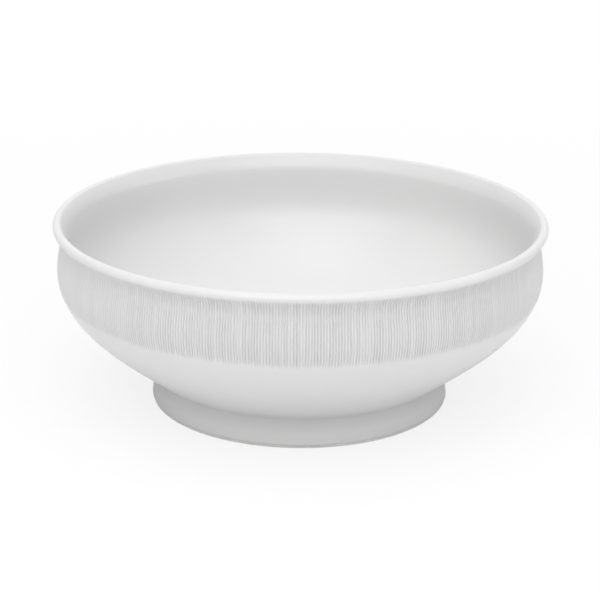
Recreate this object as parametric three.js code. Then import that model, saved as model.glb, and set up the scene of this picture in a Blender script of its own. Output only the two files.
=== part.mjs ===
// Porcelain serving bowl. A jiggered bowl body with a rolled lip stands on a turned foot ring. Slip lutes
// the ring to the body, and glaze covers all but the wiped rim that the bowl stands on.
// Millimetres, +Z up. The origin is the centre of the standing rim, on the table. Sizes are those of the
// fired clay under the glaze, except where they say that they are over it.

import * as THREE from "three";

// Overall size, over the glaze
const rimRadius = 140; // outermost edge of the lip
const overallHeight = 107; // table to the crest of the lip
const lipRadius = 2.6; // the rolled edge is a bead of this radius

// Glaze and slip
const glazeThickness = 0.35;
const glazeLine = 1.6; // the glaze stops this far above the table
const glazeFit = 0.02; // hairline between clay and glaze, which keeps their facets from crossing
const slipThickness = 0.6;

// Outside of the body
const lipOverhang = 4.25; // from the neck out to the edge of the lip, over the glaze on both
const neckDrop = 10; // from the crest of the lip down to the neck
const bellySwell = 2.2; // how much wider in radius the belly is than the neck
const bellyDrop = 28; // from the crest of the lip down to the widest point
const undersideAngle = THREE.MathUtils.degToRad(36.7); // slope of the underside where it leaves the foot
const undersideFullness = 0.475; // how far it keeps near that slope, as a share of the way to the belly
const bellyFullness = 0.3; // how far the belly keeps near upright below its widest point, as such a share
const coveRise = 1.2; // the cove over the seam starts upright for this far
const coveRun = 1.6; // and ends this far out along the underside

// Inside of the body
const wallThickness = 3.3; // at the neck
const heelThickness = 4.8; // where the underside leaves the foot
const floorThickness = 4.5; // at the middle
const floorDish = 0.3; // how much lower the floor's middle is than its edge
const floorBlend = 27; // how far from their corner the rising wall and the floor run into each other

// Foot ring
const footTopRadius = 84; // at the seam with the body
const footFlare = 1.2; // how much wider it is at the glaze line
const footHeight = 15.4; // of the ring alone
const footWaist = 0.4; // how far its side is hollowed halfway up
const footWall = 6.4; // thickness at its top
const footInnerTaper = 0.9; // how much wider its inside is at the glaze line
const standingChamfer = 1; // eased edge on each side of the standing rim
const baseRise = 1.2; // from the seam up to the flat base inside the ring

// Facets
const roundSteps = 60; // around the axis
const longCurveSteps = 9;
const shortCurveSteps = 2;
const blendSteps = 4;
const lipSteps = 7; // a right angle is a whole number of them, so the bead keeps its full width and height

const seamHeight = footHeight + slipThickness;
const baseHeight = seamHeight + baseRise;
const floorHeight = baseHeight + floorThickness;
const neckHeight = overallHeight - neckDrop;
const bellyHeight = overallHeight - bellyDrop;
const neckRadius = rimRadius - lipOverhang - glazeThickness;
const bellyRadius = neckRadius + bellySwell;

const up = point(0, 1);
const down = point(0, -1);
const inward = point(-1, 0);
const alongUnderside = point(Math.cos(undersideAngle), Math.sin(undersideAngle));

// The clay bead at the edge, inside its glaze
const beadRadius = lipRadius - glazeThickness;
const beadCentre = point(rimRadius - lipRadius, overallHeight - lipRadius);
const beadStart = THREE.MathUtils.degToRad(-60); // where the outside runs into it
const beadEnd = THREE.MathUtils.degToRad(150); // where it runs into the inside

function point(radius, height) {
  return new THREE.Vector2(radius, height);
}

function onBead(angle) {
  return point(Math.cos(angle), Math.sin(angle)).multiplyScalar(beadRadius).add(beadCentre);
}

function alongBead(angle) {
  return point(-Math.sin(angle), Math.cos(angle));
}

// A curve that leaves its start along one direction and reaches its end along another.
function sweep(start, startDirection, startReach, end, endDirection, endReach, steps) {
  const startHandle = start.clone().addScaledVector(startDirection, startReach);
  const endHandle = end.clone().addScaledVector(endDirection, -endReach);
  return new THREE.CubicBezierCurve(start, startHandle, endHandle, end).getPoints(steps);
}

// Joins runs of points end to end, each starting where the one before it stops.
function chain(first, ...rest) {
  return rest.reduce((points, run) => points.concat(run.slice(1)), first);
}

// The outline moved sideways, to its left for a positive distance, which may differ from point to point.
// A point on the axis stays on it.
function offset(outline, distanceAt) {
  return outline.map((here, i) => {
    const before = outline[i - 1] ?? here;
    const after = outline[i + 1] ?? here;
    const arriving = here.clone().sub(before).normalize();
    const leaving = after.clone().sub(here).normalize();
    const along = arriving.add(leaving).normalize();
    if (here.x === 0) along.set(Math.sign(along.x), 0);
    return here.clone().add(point(-along.y, along.x).multiplyScalar(distanceAt(i)));
  });
}

function indexAt(outline, height) {
  return outline.findIndex((p) => p.y === height);
}

// Outer side of the clay, from the glaze line up the foot and the belly, over the lip and down the inside
// to the middle of the floor. The clay lies to its left.
function bowlOutline() {
  const footEdge = point(footTopRadius + footFlare, glazeLine);
  const footTop = point(footTopRadius, footHeight);
  const seam = point(footTopRadius, seamHeight);
  const footMiddle = footEdge.clone().lerp(footTop, 0.5).addScaledVector(inward, 2 * footWaist);
  const footSide = new THREE.QuadraticBezierCurve(footEdge, footMiddle, footTop).getPoints(shortCurveSteps);

  const coveCorner = seam.clone().addScaledVector(up, coveRise);
  const coveEnd = coveCorner.clone().addScaledVector(alongUnderside, coveRun);
  const cove = new THREE.QuadraticBezierCurve(seam, coveCorner, coveEnd).getPoints(shortCurveSteps);

  const belly = point(bellyRadius, bellyHeight);
  const neck = point(neckRadius, neckHeight);
  const span = coveEnd.distanceTo(belly);
  const underside = sweep(
    coveEnd, alongUnderside, undersideFullness * span, belly, up, bellyFullness * span, longCurveSteps,
  );
  const shoulderReach = (neckHeight - bellyHeight) / 3;
  const shoulder = sweep(belly, up, shoulderReach, neck, up, shoulderReach, shortCurveSteps);
  const wall = chain(underside, shoulder);

  const beadFoot = onBead(beadStart);
  const flareReach = beadFoot.distanceTo(neck) / 3;
  const flare = sweep(neck, up, flareReach, beadFoot, alongBead(beadStart), flareReach, shortCurveSteps);
  const bead = Array.from({ length: lipSteps + 1 }, (_, i) =>
    onBead(THREE.MathUtils.lerp(beadStart, beadEnd, i / lipSteps)),
  );

  // The inside keeps its distance from the outside, and grows thicker towards the foot.
  const wallAt = (i) => THREE.MathUtils.lerp(heelThickness, wallThickness, i / (wall.length - 1));
  const innerWall = offset(wall, wallAt).reverse();
  const beadInside = onBead(beadEnd);
  const throatReach = beadInside.distanceTo(innerWall[0]) / 3;
  const throat = sweep(
    beadInside, alongBead(beadEnd), throatReach, innerWall[0], down, throatReach, shortCurveSteps,
  );

  // Its straight foot would meet the floor at a corner, and both run into each other round it.
  const floorLevel = floorHeight + floorDish;
  const heel = innerWall[innerWall.length - 1];
  const toFloor = (floorLevel - heel.y) / Math.sin(undersideAngle);
  const corner = heel.clone().addScaledVector(alongUnderside, toFloor);
  const risingWall = innerWall.filter((p) => p.y > corner.y && p.distanceTo(corner) > floorBlend);
  const blendTop = risingWall[risingWall.length - 1];
  const floorEdge = corner.clone().addScaledVector(inward, floorBlend);
  const blend = new THREE.QuadraticBezierCurve(blendTop, corner, floorEdge).getPoints(blendSteps);
  return chain(
    footSide, [footTop, seam], cove, wall, flare, bead, throat, risingWall, blend,
    [floorEdge, point(0, floorHeight)],
  );
}

// Clay inside the foot, from the glaze line up to the middle of the base. The clay lies to its right.
function recessOutline() {
  const innerRadius = footTopRadius - footWall;
  const footEdge = point(innerRadius + footInnerTaper, glazeLine);
  const footTop = point(innerRadius, footHeight);
  const seam = point(innerRadius, seamHeight);
  const corner = point(innerRadius, baseHeight);
  const baseEdge = corner.clone().addScaledVector(inward, 2 * baseRise);
  const fillet = new THREE.QuadraticBezierCurve(seam, corner, baseEdge).getPoints(shortCurveSteps);
  return chain([footEdge, footTop, seam], fillet, [baseEdge, point(0, baseHeight)]);
}

// A solid of revolution from a profile that runs anticlockwise. One that starts off the axis is closed here.
function turned(name, profile, material) {
  const closed = profile[0].x > 0 ? [...profile, profile[0]] : profile;
  const lathe = new THREE.LatheGeometry(closed, roundSteps);
  lathe.rotateX(Math.PI / 2); // a lathe turns about Y, and the bowl stands along Z
  const mesh = new THREE.Mesh(lathe, material);
  mesh.name = name;
  return mesh;
}

const biscuit = new THREE.MeshStandardMaterial({ color: 0xf1efea, roughness: 0.75, metalness: 0 });
const slip = new THREE.MeshStandardMaterial({ color: 0xeeebe4, roughness: 0.8, metalness: 0 });
const glaze = new THREE.MeshStandardMaterial({ color: 0xf6f6f5, roughness: 0.15, metalness: 0 });

const outside = bowlOutline();
const recess = recessOutline();
const outsideTop = indexAt(outside, footHeight);
const outsideSeam = indexAt(outside, seamHeight);
const recessTop = indexAt(recess, footHeight);
const recessSeam = indexAt(recess, seamHeight);

const bodyProfile = [...recess.slice(recessSeam).reverse(), ...outside.slice(outsideSeam)];
const slipProfile = [recess[recessSeam], recess[recessTop], outside[outsideTop], outside[outsideSeam]];
const footProfile = [
  ...recess.slice(0, recessTop + 1).reverse(),
  point(recess[0].x + standingChamfer, 0),
  point(outside[0].x - standingChamfer, 0),
  ...outside.slice(0, outsideTop + 1),
];
const coatProfile = [
  ...offset(outside, () => -glazeThickness),
  ...offset(outside, () => -glazeFit).reverse(),
];
const baseGlazeProfile = [
  ...offset(recess, () => glazeFit),
  ...offset(recess, () => glazeThickness).reverse(),
];

const bowl = new THREE.Group();
bowl.add(turned("bowl_body", bodyProfile, biscuit));
bowl.add(turned("foot_ring", footProfile, biscuit));
bowl.add(turned("luting_slip", slipProfile, slip));
bowl.add(turned("glaze_coat", coatProfile, glaze));
bowl.add(turned("base_glaze", baseGlazeProfile, glaze));

export default bowl;
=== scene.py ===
from math import atan2, cos, hypot, radians, sin, sqrt, tau

import bmesh
import bpy
from mathutils import Matrix, Vector, noise
from mathutils.geometry import interpolate_bezier


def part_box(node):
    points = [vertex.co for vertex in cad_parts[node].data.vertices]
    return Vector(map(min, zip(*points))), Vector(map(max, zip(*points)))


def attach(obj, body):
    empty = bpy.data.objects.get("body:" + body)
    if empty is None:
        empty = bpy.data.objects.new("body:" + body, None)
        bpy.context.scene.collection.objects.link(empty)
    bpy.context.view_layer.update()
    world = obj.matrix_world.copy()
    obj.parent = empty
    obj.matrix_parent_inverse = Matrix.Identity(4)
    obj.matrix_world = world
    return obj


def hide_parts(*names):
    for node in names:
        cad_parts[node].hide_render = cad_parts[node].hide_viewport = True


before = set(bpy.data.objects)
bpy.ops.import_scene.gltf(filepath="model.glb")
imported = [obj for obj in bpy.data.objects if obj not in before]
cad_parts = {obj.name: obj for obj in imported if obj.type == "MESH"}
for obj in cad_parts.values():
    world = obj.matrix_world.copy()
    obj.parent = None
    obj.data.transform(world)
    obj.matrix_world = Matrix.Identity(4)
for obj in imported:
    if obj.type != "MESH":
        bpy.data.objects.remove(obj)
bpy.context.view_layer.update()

scene = bpy.context.scene
mm = 0.001
touching = 0.001 * mm  # points closer than this are the same

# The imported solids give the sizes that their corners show; the dictionaries hold the rest.
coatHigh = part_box("glaze_coat")[1]
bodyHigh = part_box("bowl_body")[1]
slipLow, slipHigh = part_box("luting_slip")

# Outlines lie in a plane through the axis: x is the radius and y the height.
up, inward = Vector((0, 1)), Vector((-1, 0))


def sweep(start, startWay, startReach, end, endWay, endReach, steps=60):
    return interpolate_bezier(start, start + startWay * startReach, end - endWay * endReach, end, steps + 1)


def bend(start, corner, end, steps=24):
    pull = 2 / 3  # of the way to the corner
    return interpolate_bezier(start, start.lerp(corner, pull), end.lerp(corner, pull), end, steps + 1)


def straight(start, end, steps):
    return [start.lerp(end, i / steps) for i in range(steps + 1)]


def chain(*runs):
    joined = []
    for run in runs:
        joined += run if not joined else run[1:]
    return joined


def runsOf(outline):
    # how far along the outline each of its points lies
    lengths = [0]
    for a, b in zip(outline, outline[1:]):
        lengths.append(lengths[-1] + (b - a).length)
    return lengths


def sideways(outline, distanceAt):
    # to the left of the way the outline goes; a point on the axis stays on it
    moved = []
    last = len(outline) - 1
    for i, (here, run) in enumerate(zip(outline, runsOf(outline))):
        along = (outline[min(i + 1, last)] - outline[max(i - 1, 0)]).normalized()
        there = here + Vector((-along.y, along.x)) * distanceAt(run)
        moved.append(Vector((0, there.y)) if here.x == 0 else there)
    return moved


def thinned(outline, turn=radians(8), stretch=8 * mm):
    # drops points where the outline runs nearly straight
    kept = [outline[0]]
    turned = run = 0
    for before, here, after in zip(outline, outline[1:], outline[2:]):
        turned += abs((here - before).angle_signed(after - here, 0))
        run += (here - before).length
        if turned > turn or run > stretch:
            kept.append(here)
            turned = run = 0
    return kept + [outline[-1]]


def pointAt(outline, height):
    for a, b in zip(outline, outline[1:]):
        if a.y <= height <= b.y and b.y > a.y:
            return a.lerp(b, (height - a.y) / (b.y - a.y))


bowl = {
    "lipRadius": 2.6 * mm,
    "lipStart": -60,  # degrees round the lip's bead, from straight out
    "lipTurn": 210,
    "lipOverhang": 4.25 * mm,
    "neckDrop": 10 * mm,
    "bellySwell": 2.2 * mm,
    "bellyDrop": 28 * mm,
    "undersideAngle": radians(36.7),
    "undersideFullness": 0.475,
    "bellyFullness": 0.3,
    "coveRise": 1.2 * mm,
    "coveRun": 1.6 * mm,
    "wall": 3.3 * mm,
    "heel": 4.8 * mm,
    "floorThickness": 4.5 * mm,
    "floorDish": 0.3 * mm,
    "floorBlend": 27 * mm,
    "columns": 280,  # round the axis, on every piece
}

foot = {
    "flare": 1.2 * mm,
    "waist": 0.4 * mm,
    "wall": 6.4 * mm,
    "innerTaper": 0.9 * mm,
    "easedEdge": 1 * mm,
    "easedPull": 0.2,  # of the eased edge, 0 for a fuller round
    "baseRise": 1.2 * mm,
}

glaze = {
    "thickness": coatHigh.x - bodyHigh.x,
    "hairline": 0.02 * mm,  # between clay and glaze
    "line": 1.6 * mm,  # its wiped edge, above the table
    "edgeRun": 1.1 * mm,  # it thins out to nothing over this
    "edgeWave": 0.45 * mm,  # of the wiped line, up and down
    "edgeWaviness": 9,
    "edgeSeed": 2.3,
    # the cove's darker colour is painted shade, partly glaze pooled thick there
    "covePoolAndShade": 0.65,  # of the darker colour, 0 for none
    "coveReach": 13 * mm,
}


def bowlOutlines():
    # clay from the glaze line up the foot, and on from the seam over the lip to the middle of the floor
    footTop = Vector((slipHigh.x, slipLow.z))
    seam = Vector((slipHigh.x, slipHigh.z))
    footEdge = Vector((slipHigh.x + foot["flare"], glaze["line"]))
    waist = footEdge.lerp(footTop, 0.5) + inward * 2 * foot["waist"]
    side = bend(footEdge, waist, footTop)

    alongUnderside = Vector((cos(bowl["undersideAngle"]), sin(bowl["undersideAngle"])))
    coveCorner = seam + up * bowl["coveRise"]
    coveEnd = coveCorner + alongUnderside * bowl["coveRun"]
    cove = bend(seam, coveCorner, coveEnd)

    neck = Vector((coatHigh.x - glaze["thickness"] - bowl["lipOverhang"], coatHigh.z - bowl["neckDrop"]))
    belly = Vector((neck.x + bowl["bellySwell"], coatHigh.z - bowl["bellyDrop"]))
    span = (belly - coveEnd).length
    underside = sweep(coveEnd, alongUnderside, span * bowl["undersideFullness"],
                      belly, up, span * bowl["bellyFullness"], steps=160)
    shoulderReach = (neck.y - belly.y) / 3
    shoulder = sweep(belly, up, shoulderReach, neck, up, shoulderReach)
    wall = chain(underside, shoulder)

    beadRadius = bowl["lipRadius"] - glaze["thickness"]
    beadCentre = Vector((coatHigh.x - bowl["lipRadius"], coatHigh.z - bowl["lipRadius"]))
    steps = 60
    angles = [radians(bowl["lipStart"] + bowl["lipTurn"] * i / steps) for i in range(steps + 1)]
    bead = [beadCentre + Vector((cos(a), sin(a))) * beadRadius for a in angles]
    intoBead = Vector((-sin(angles[0]), cos(angles[0])))
    outOfBead = Vector((-sin(angles[-1]), cos(angles[-1])))
    flareReach = (bead[0] - neck).length / 3
    flare = sweep(neck, up, flareReach, bead[0], intoBead, flareReach)

    # the wall thickens from the neck down to the heel
    length = runsOf(wall)[-1]
    innerWall = sideways(wall, lambda run: bowl["heel"] + (bowl["wall"] - bowl["heel"]) * run / length)[::-1]
    throatReach = (bead[-1] - innerWall[0]).length / 3
    throat = sweep(bead[-1], outOfBead, throatReach, innerWall[0], -up, throatReach)

    floorHeight = slipHigh.z + foot["baseRise"] + bowl["floorThickness"]
    heel = innerWall[-1]
    toFloor = (floorHeight + bowl["floorDish"] - heel.y) / sin(bowl["undersideAngle"])
    corner = heel + alongUnderside * toFloor
    rising = [p for p in innerWall if p.y > corner.y and (p - corner).length > bowl["floorBlend"]]
    floorEdge = corner + inward * bowl["floorBlend"]
    blend = bend(rising[-1], corner, floorEdge, steps=60)
    floor = straight(floorEdge, Vector((0, floorHeight)), steps=12)
    return side, [footTop, seam], chain(cove, wall, flare, bead, throat, rising, blend, floor)


def recessOutlines():
    # clay inside the foot ring, up its wall, and on from the seam to the middle of the base
    radius = slipHigh.x - foot["wall"]
    edge = Vector((radius + foot["innerTaper"], glaze["line"]))
    top, seam = Vector((radius, slipLow.z)), Vector((radius, slipHigh.z))
    corner = Vector((radius, slipHigh.z + foot["baseRise"]))
    baseEdge = corner + inward * 2 * foot["baseRise"]
    base = chain(bend(seam, corner, baseEdge, steps=8),
                 straight(baseEdge, Vector((0, corner.y)), steps=16))
    return straight(edge, top, steps=8), [top, seam], base


def turnedSolid(outline, closed=False):
    bm = bmesh.new()
    points = [bm.verts.new((p.x, 0, p.y)) for p in outline]
    for a, b in zip(points, points[1:] + points[:1] if closed else points[1:]):
        bm.edges.new((a, b))
    bmesh.ops.spin(bm, geom=bm.verts[:] + bm.edges[:], cent=(0, 0, 0), axis=(0, 0, 1),
                   angle=tau, steps=bowl["columns"], use_merge=True)
    bmesh.ops.remove_doubles(bm, verts=bm.verts, dist=touching)
    bmesh.ops.recalc_face_normals(bm, faces=bm.faces)
    return bm


def smoothstep(t):
    t = max(0.0, min(1.0, t))
    return t * t * (3 - 2 * t)


flutes = {
    "count": 560,
    "low": 65 * mm,
    "high": 103.2 * mm,
    "rows": 17,
    "crowding": 0.3,  # of the rows towards both ends, 0 for none
    "lowFade": 3 * mm,
    "highFade": 1.8 * mm,
    "raggedEnd": 2.4 * mm,
    "raggedness": 2.3,  # how fast the lower ends change round the bowl
    "wander": 0.16,  # of a flute's width, sideways
    "unevenness": 0.5,  # of the depth
    "changeRound": 0.73,  # of the noise, from one flute to the next
    "changeUp": 14,  # and in a metre of height
    "raggedSeed": 5.7,
    "wanderSeed": 3.1,
    "unevenSeed": 9.4,
}


def withRows(outline):
    # the outline below the flutes, evenly spread points along them, and the outline above
    low, high, rows = flutes["low"], flutes["high"], flutes["rows"]
    start = next(i for i, p in enumerate(outline) if p.y > low)
    stop = next(i for i, p in enumerate(outline) if p.y > high)
    shares = [i / rows for i in range(rows + 1)]
    shares = [t - flutes["crowding"] * sin(tau * t) / tau for t in shares]
    band = [pointAt(outline, low + (high - low) * t) for t in shares]
    return thinned(outline[:start]), band, thinned(outline[stop:])


def wobble(flute, height, seed):
    around = flute % flutes["count"] * flutes["changeRound"]
    return noise.noise(Vector((around, height * flutes["changeUp"], seed)))


def cutFlutes(bm, band, facets, depth, proud, softness, deepest):
    # splits the band's rings finely, then presses a rounded ridge into each flute's width
    slack = 0.15 * mm  # a ring's points may lie this far inside the band
    radii = {round(p.y / mm, 4): p.x for p in band}
    # marks where the glaze's colour is darkened: painted shade in the grooves and the cove, partly glaze
    # lying thick there
    poolAndShade = bm.verts.layers.float.new("glazePoolAndShade")

    def bandRadius(vert):
        radius = radii.get(round(vert.co.z / mm, 4))
        return radius if radius and hypot(vert.co.x, vert.co.y) > radius - slack else None

    rings = [e for e in bm.edges
             if bandRadius(e.verts[0]) and bandRadius(e.verts[1])
             and abs(e.verts[0].co.z - e.verts[1].co.z) < touching]
    perTurn = flutes["count"] * facets
    bmesh.ops.subdivide_edges(bm, edges=rings, cuts=perTurn // bowl["columns"] - 1, use_grid_fill=True)
    for vert in bm.verts:
        radius = bandRadius(vert)
        if not radius:
            continue
        z = vert.co.z
        step = round(atan2(vert.co.y, vert.co.x) / tau * perTurn) % perTurn
        flute, share = divmod(step, facets)
        share /= facets
        left = flutes["wander"] * wobble(flute, z, flutes["wanderSeed"])
        right = flutes["wander"] * wobble(flute + 1, z, flutes["wanderSeed"])
        angle = (flute + left + share * (1 + right - left)) / flutes["count"] * tau
        ragged = 0.5 + 0.5 * wobble(flute * flutes["raggedness"], 0, flutes["raggedSeed"])
        end = flutes["low"] + flutes["raggedEnd"] * ragged
        fadeBelow = smoothstep((z - end) / flutes["lowFade"])
        fadeAbove = smoothstep((flutes["high"] - z) / flutes["highFade"])
        fade = fadeBelow * fadeAbove
        ridge = sin(share * tau / 2) ** softness
        uneven = 1 + flutes["unevenness"] * wobble(flute, z, flutes["unevenSeed"])
        sunk = fade * uneven * (1 - ridge)
        radius += max(depth * (proud * fade - sunk), -deepest)
        vert.co = Vector((cos(angle) * radius, sin(angle) * radius, z))
        # the groove's depth also darkens the glaze's colour there: painted shade in the flutes, partly glaze
        # lying thick in them
        vert[poolAndShade] = sunk


def wipeLine(bm):
    # the glaze's wiped edge isn't quite level
    top = glaze["line"] + glaze["edgeRun"] * 2
    for vert in bm.verts:
        if vert.co.z < top:
            around = vert.co.xy.normalized() * glaze["edgeWaviness"]
            wave = noise.noise(Vector((around.x, around.y, glaze["edgeSeed"])))
            vert.co.z += glaze["edgeWave"] * wave * smoothstep((top - vert.co.z) / glaze["edgeRun"])


def poolAndShadeInCove(bm):
    # the glaze's colour darkens where the bowl meets its foot: painted shade of the cove, partly glaze
    # gathered there
    poolAndShade = bm.verts.layers.float["glazePoolAndShade"]
    cove = Vector((slipHigh.x, slipHigh.z + bowl["coveRise"]))
    for vert in bm.verts:
        away = (Vector((vert.co.xy.length, vert.co.z)) - cove).length
        vert[poolAndShade] += glaze["covePoolAndShade"] * smoothstep(1 - away / glaze["coveReach"])


def addNode(tree, kind, links=(), **settings):
    # links are pairs of an input and what goes in, a value or another node's output
    node = tree.nodes.new(kind)
    for name, value in settings.items():
        setattr(node, name, value)
    for socket, value in dict(links).items():
        if isinstance(value, bpy.types.NodeSocket):
            tree.links.new(value, node.inputs[socket])
        else:
            node.inputs[socket].default_value = value
    return node


def makeKilnSurface():
    # slow patches, fine grain and the rings of the turning, each from 0 to 1
    tree = bpy.data.node_groups.new("kiln_surface", "ShaderNodeTree")
    for name in ("Patch Scale", "Grain Scale", "Ring Scale"):
        tree.interface.new_socket(name, in_out="INPUT", socket_type="NodeSocketFloat")
    for name in ("Patches", "Grain", "Rings"):
        tree.interface.new_socket(name, in_out="OUTPUT", socket_type="NodeSocketFloat")
    scales = addNode(tree, "NodeGroupInput").outputs
    place = addNode(tree, "ShaderNodeTexCoord").outputs["Object"]
    patches = addNode(tree, "ShaderNodeTexNoise",
                      {"Vector": place, "Scale": scales["Patch Scale"], "Detail": 2})
    grain = addNode(tree, "ShaderNodeTexNoise",
                    {"Vector": place, "Scale": scales["Grain Scale"], "Detail": 3})
    flat = addNode(tree, "ShaderNodeVectorMath", {0: place, 1: (1, 1, 0)}, operation="MULTIPLY")
    radius = addNode(tree, "ShaderNodeVectorMath", {0: flat.outputs["Vector"]}, operation="LENGTH")
    height = addNode(tree, "ShaderNodeSeparateXYZ", {"Vector": place})
    along = addNode(tree, "ShaderNodeMath",
                    {0: radius.outputs["Value"], 1: height.outputs["Z"]}, operation="SUBTRACT")
    rings = addNode(tree, "ShaderNodeTexNoise",
                    {"W": along.outputs["Value"], "Scale": scales["Ring Scale"], "Detail": 2},
                    noise_dimensions="1D")
    addNode(tree, "NodeGroupOutput",
            {"Patches": patches.outputs["Fac"], "Grain": grain.outputs["Fac"], "Rings": rings.outputs["Fac"]})
    return tree


kilnSurface = makeKilnSurface()


def newMaterial(name):
    material = bpy.data.materials.new(name)
    material.use_nodes = True
    return material, material.node_tree, material.node_tree.nodes["Principled BSDF"]


def addSurface(tree, look):
    return addNode(tree, "ShaderNodeGroup",
                   {"Patch Scale": look["patchScale"], "Grain Scale": look["grainScale"],
                    "Ring Scale": look["ringScale"]}, node_tree=kilnSurface)


def spread(tree, value, low, high):
    # noise stays near its middle, so that part is stretched to the whole range
    least, most = 0.15, 0.85
    return addNode(tree, "ShaderNodeMapRange",
                   {"Value": value, "From Min": least, "From Max": most, "To Min": low, "To Max": high},
                   interpolation_type="SMOOTHSTEP")


glazeLook = {
    "white": (0.76, 0.76, 0.757, 1),
    # painted shade in the flute grooves and the cove, partly glaze lying thick there
    "pooledAndShaded": (0.56, 0.562, 0.565, 1),  # where it lies thick, in the flutes and the cove
    "shaded": (0.745, 0.746, 0.745, 1),  # in faint patches from the kiln
    "patchScale": 16,
    "grainScale": 140,
    "ringScale": 120,
    "gloss": (0.285, 0.34),  # roughness, from the glossiest patch to the dullest
    "waviness": 0.02 * mm,
    "refraction": 1.52,
}


def glazeMaterial(name, look):
    material, tree, shader = newMaterial(name)
    surface = addSurface(tree, look)
    kiln = spread(tree, surface.outputs["Patches"], 0, 1)
    fired = addNode(tree, "ShaderNodeMix", {"Factor": kiln.outputs["Result"]}, data_type="RGBA")
    fired.inputs["A"].default_value = look["white"]
    fired.inputs["B"].default_value = look["shaded"]
    # painted shade in the grooves and the cove, partly pooled glaze, darkens the colour
    poolAndShade = addNode(tree, "ShaderNodeAttribute", attribute_name="glazePoolAndShade")
    pooledAndShaded = addNode(tree, "ShaderNodeMix", {"Factor": poolAndShade.outputs["Fac"]}, data_type="RGBA")
    pooledAndShaded.inputs["B"].default_value = look["pooledAndShaded"]
    tree.links.new(fired.outputs["Result"], pooledAndShaded.inputs["A"])
    tree.links.new(pooledAndShaded.outputs["Result"], shader.inputs["Base Color"])
    gloss = spread(tree, surface.outputs["Patches"], *look["gloss"])
    tree.links.new(gloss.outputs["Result"], shader.inputs["Roughness"])
    bump = addNode(tree, "ShaderNodeBump",
                   {"Height": surface.outputs["Rings"], "Distance": look["waviness"]})
    tree.links.new(bump.outputs["Normal"], shader.inputs["Normal"])
    shader.inputs["IOR"].default_value = look["refraction"]
    return material


biscuitLook = {
    "pale": (0.84, 0.835, 0.82, 1),
    "shade": (0.76, 0.752, 0.735, 1),
    "patchScale": 40,
    "grainScale": 3200,
    "ringScale": 900,
    "gloss": (0.62, 0.85),
    "waviness": 0.12 * mm,
}

slipLook = {
    "pale": (0.76, 0.745, 0.71, 1),
    "shade": (0.62, 0.6, 0.56, 1),
    "patchScale": 90,
    "grainScale": 1800,
    "ringScale": 300,
    "gloss": (0.7, 0.9),
    "waviness": 0.2 * mm,
}


def clayMaterial(name, look):
    material, tree, shader = newMaterial(name)
    surface = addSurface(tree, look)
    patches, grain, rings = (surface.outputs[part] for part in ("Patches", "Grain", "Rings"))
    mottle = addNode(tree, "ShaderNodeMath", {0: patches, 1: grain}, operation="MULTIPLY")
    least, most = 0.12, 0.42  # the product of two noises mostly lies between these
    shade = addNode(tree, "ShaderNodeMapRange",
                    {"Value": mottle.outputs["Value"], "From Min": least, "From Max": most})
    colour = addNode(tree, "ShaderNodeMix", {"Factor": shade.outputs["Result"]}, data_type="RGBA")
    colour.inputs["A"].default_value = look["pale"]
    colour.inputs["B"].default_value = look["shade"]
    tree.links.new(colour.outputs["Result"], shader.inputs["Base Color"])
    gloss = spread(tree, patches, *look["gloss"])
    tree.links.new(gloss.outputs["Result"], shader.inputs["Roughness"])
    rough = addNode(tree, "ShaderNodeMath", {0: rings, 1: grain}, operation="ADD")
    strength = 0.6
    bump = addNode(tree, "ShaderNodeBump",
                   {"Height": rough.outputs["Value"], "Distance": look["waviness"], "Strength": strength})
    tree.links.new(bump.outputs["Normal"], shader.inputs["Normal"])
    return material


glossGlaze = glazeMaterial("gloss_glaze", glazeLook)
biscuit = clayMaterial("biscuit", biscuitLook)
lutingSlip = clayMaterial("luting_slip", slipLook)
print("materials made")


def finishPiece(bm, name, material, slot, *nodes):
    bmesh.ops.recalc_face_normals(bm, faces=bm.faces)
    for face in bm.faces:
        face.smooth = True
    mesh = bpy.data.meshes.new(name)
    bm.to_mesh(mesh)
    bm.free()
    mesh.materials.append(material)
    piece = bpy.data.objects.new(name, mesh)
    scene.collection.objects.link(piece)
    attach(piece, "root")
    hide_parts(*nodes)
    print(name, len(mesh.polygons), "faces")


footSide, seamSide, bodySide = bowlOutlines()
recessWall, recessSeam, recessBase = recessOutlines()
print("outlines drawn")

bodyFlutes = {
    "facets": 4,  # across each flute
    "depth": 0.55 * mm,
    "proud": 0,  # of the depth
    "softness": 1.1,  # more for a sharper ridge
    "deepest": bowl["wall"] / 2,  # a flute is never cut deeper
}


def makeBody():
    low, band, top = withRows(bodySide)
    bm = turnedSolid(recessBase[::-1] + low + band + top)
    cutFlutes(bm, band, **bodyFlutes)
    finishPiece(bm, "bowl_body_fluted", biscuit, "porcelain_body", "bowl_body")


coatFlutes = {
    "facets": 6,  # across each flute
    "depth": 0.56 * mm,
    "proud": 0.5,  # of the depth
    "softness": 1.4,
    "deepest": glaze["thickness"] - 3 * glaze["hairline"],
}


def glazeAt(run):
    # how thick it lies, this far from its wiped edge
    share = min(1, run / glaze["edgeRun"])
    return max(glaze["hairline"], glaze["thickness"] * sqrt(1 - (1 - share) ** 2))


def makeCoat():
    clay = chain(footSide, seamSide, bodySide)
    front = sideways(clay, lambda run: -glazeAt(run))
    back = sideways(clay, lambda run: -glaze["hairline"])
    low, band, top = withRows(front)
    bm = turnedSolid(thinned(back)[::-1][:-1] + low + band + top)
    cutFlutes(bm, band, **coatFlutes)
    poolAndShadeInCove(bm)
    wipeLine(bm)
    finishPiece(bm, "glaze_coat_fluted", glossGlaze, "clear_glaze", "glaze_coat")


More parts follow.
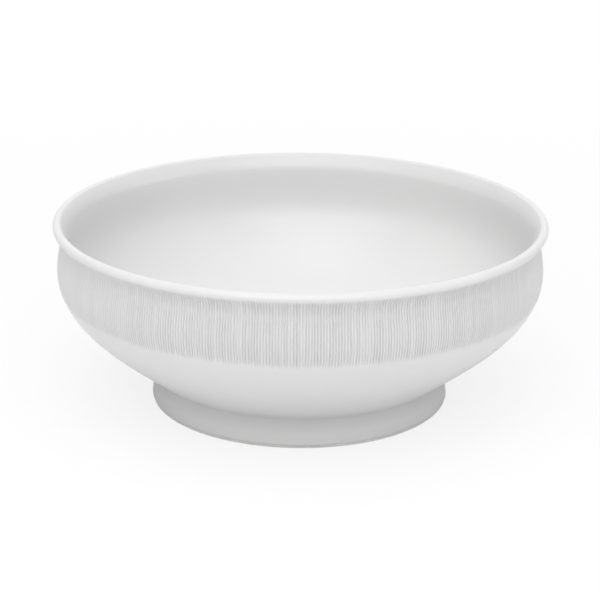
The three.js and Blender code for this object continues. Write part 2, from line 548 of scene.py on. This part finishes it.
def makeFoot():
    innerEdge, outerEdge = recessWall[0], footSide[0]
    eased, pull = foot["easedEdge"], foot["easedPull"]
    innerRim = Vector((innerEdge.x + eased, 0))
    outerRim = Vector((outerEdge.x - eased, 0))
    innerEase = bend(innerEdge, Vector((innerEdge.x + eased * pull, 0)), innerRim, steps=6)
    outerEase = bend(outerRim, Vector((outerEdge.x - eased * pull, 0)), outerEdge, steps=6)
    rim = straight(innerRim, outerRim, steps=6)
    bm = turnedSolid(chain(recessWall[::-1], innerEase, rim, outerEase, thinned(footSide)), closed=True)
    finishPiece(bm, "foot_ring_turned", biscuit, "porcelain_body", "foot_ring")


def makeSlip():
    bm = turnedSolid(recessSeam[::-1] + seamSide, closed=True)
    finishPiece(bm, "luting_slip_seam", lutingSlip, "slip", "luting_slip")


def makeBaseGlaze():
    clay = chain(recessWall, recessSeam, recessBase)
    front = sideways(clay, glazeAt)
    back = sideways(clay, lambda run: glaze["hairline"])
    bm = turnedSolid(front[::-1] + back[1:])
    wipeLine(bm)
    finishPiece(bm, "base_glaze_skin", glossGlaze, "clear_glaze", "base_glaze")


makeBody()
makeCoat()
makeFoot()
makeSlip()
makeBaseGlaze()
print("bowl made")

studio = {
    "floorSize": 8,
    "floorDrop": 0.1 * mm,  # below the standing rim
    "floorWhite": 0.92,
    "glow": (0.78, 1),  # what the camera sees of the floor, under the bowl and far away
    "glowReach": (0.2, 0.85),
    "sky": 0.96,
    "skyLow": 0.07,  # near the horizon
    "skyFrom": radians(27),
    "skyFull": radians(42),
}


def makeFloor():
    bm = bmesh.new()
    bmesh.ops.create_grid(bm, x_segments=2, y_segments=2, size=studio["floorSize"] / 2)
    bmesh.ops.translate(bm, verts=bm.verts, vec=(0, 0, -studio["floorDrop"]))
    mesh = bpy.data.meshes.new("floor")
    bm.to_mesh(mesh)
    bm.free()
    material, tree, shader = newMaterial("floor_white")
    white = studio["floorWhite"]
    shader.inputs["Base Color"].default_value = (white, white, white, 1)
    shader.inputs["Roughness"].default_value = 1
    shader.inputs["Specular IOR Level"].default_value = 0
    glow = addNode(tree, "ShaderNodeEmission")
    path = addNode(tree, "ShaderNodeLightPath")
    place = addNode(tree, "ShaderNodeTexCoord")
    away = addNode(tree, "ShaderNodeVectorMath", {0: place.outputs["Object"]}, operation="LENGTH")
    near, far = studio["glowReach"]
    dim, full = studio["glow"]
    whiter = addNode(tree, "ShaderNodeMapRange",
                     {"Value": away.outputs["Value"], "From Min": near, "From Max": far,
                      "To Min": dim, "To Max": full}, interpolation_type="SMOOTHSTEP")
    share = addNode(tree, "ShaderNodeMath",
                    {0: path.outputs["Is Camera Ray"], 1: whiter.outputs["Result"]}, operation="MULTIPLY")
    mix = addNode(tree, "ShaderNodeMixShader",
                  {0: share.outputs["Value"], 1: shader.outputs["BSDF"], 2: glow.outputs["Emission"]})
    tree.links.new(mix.outputs["Shader"], tree.nodes["Material Output"].inputs["Surface"])
    mesh.materials.append(material)
    floor = bpy.data.objects.new("floor", mesh)
    scene.collection.objects.link(floor)


def makeSky():
    # white to the camera and in the gloss, and for other light bright above and dim near the horizon
    world = bpy.data.worlds.new("studio")
    scene.world = world
    world.use_nodes = True
    tree = world.node_tree
    path = addNode(tree, "ShaderNodeLightPath")
    seen = addNode(tree, "ShaderNodeMath",
                   {0: path.outputs["Is Camera Ray"], 1: path.outputs["Is Glossy Ray"]}, operation="MAXIMUM")
    way = addNode(tree, "ShaderNodeTexCoord")
    rise = addNode(tree, "ShaderNodeSeparateXYZ", {"Vector": way.outputs["Generated"]})
    low, high = sin(studio["skyFrom"]), sin(studio["skyFull"])
    sky = addNode(tree, "ShaderNodeMapRange",
                  {"Value": rise.outputs["Z"], "From Min": low, "From Max": high,
                   "To Min": studio["skyLow"], "To Max": studio["sky"]}, interpolation_type="SMOOTHSTEP")
    strength = addNode(tree, "ShaderNodeMix",
                       {"Factor": seen.outputs["Value"], "A": sky.outputs["Result"], "B": 1})
    tree.links.new(strength.outputs["Result"], tree.nodes["Background"].inputs["Strength"])
    tree.nodes["Background"].inputs["Color"].default_value = (1, 1, 1, 1)


lampDistance = 1.6

# power, width, height, then how high it stands and which way round from the front
softboxes = {
    "overhead": (3.9, 1, 1, radians(74), radians(-12)),
    "front_box": (11.2, 2.2, 1, radians(38), radians(-8)),
    "back_box": (3, 2.2, 1, radians(44), tau / 2),
    "right_fill": (4, 1, 0.6, radians(6), radians(80)),
    "left_fill": (1.6, 1, 0.6, radians(6), radians(-80)),
}


def makeSoftbox(name, power, width, height, rise, around):
    data = bpy.data.lights.new(name, "AREA")
    data.shape = "RECTANGLE"
    data.size, data.size_y = width, height
    data.energy = power
    lamp = bpy.data.objects.new(name, data)
    swing = Matrix.Rotation(around, 4, "Z") @ Matrix.Rotation(tau / 4 - rise, 4, "X")
    lamp.matrix_world = swing @ Matrix.Translation((0, 0, lampDistance))
    scene.collection.objects.link(lamp)


view = {
    "distance": 1.0879,
    "height": 0.4351,
    "pitch": radians(19.2056),
    "roll": radians(0.435),
    "lens": 120,
    "sensor": 36,
    "nearest": 0.05,
    "farthest": 50,
}


def makeCamera():
    data = bpy.data.cameras.new("camera")
    data.lens = view["lens"]
    data.sensor_width = view["sensor"]
    data.clip_start, data.clip_end = view["nearest"], view["farthest"]
    camera = bpy.data.objects.new("camera", data)
    tilt = Matrix.Rotation(tau / 4 - view["pitch"], 4, "X")
    roll = Matrix.Rotation(view["roll"], 4, "Z")
    place = Matrix.Translation((0, -view["distance"], view["height"]))
    camera.matrix_world = place @ tilt @ roll
    scene.collection.objects.link(camera)
    scene.camera = camera


makeFloor()
makeSky()
for name, values in softboxes.items():
    makeSoftbox(name, *values)
makeCamera()
scene.view_settings.view_transform = "Standard"
print("studio made")
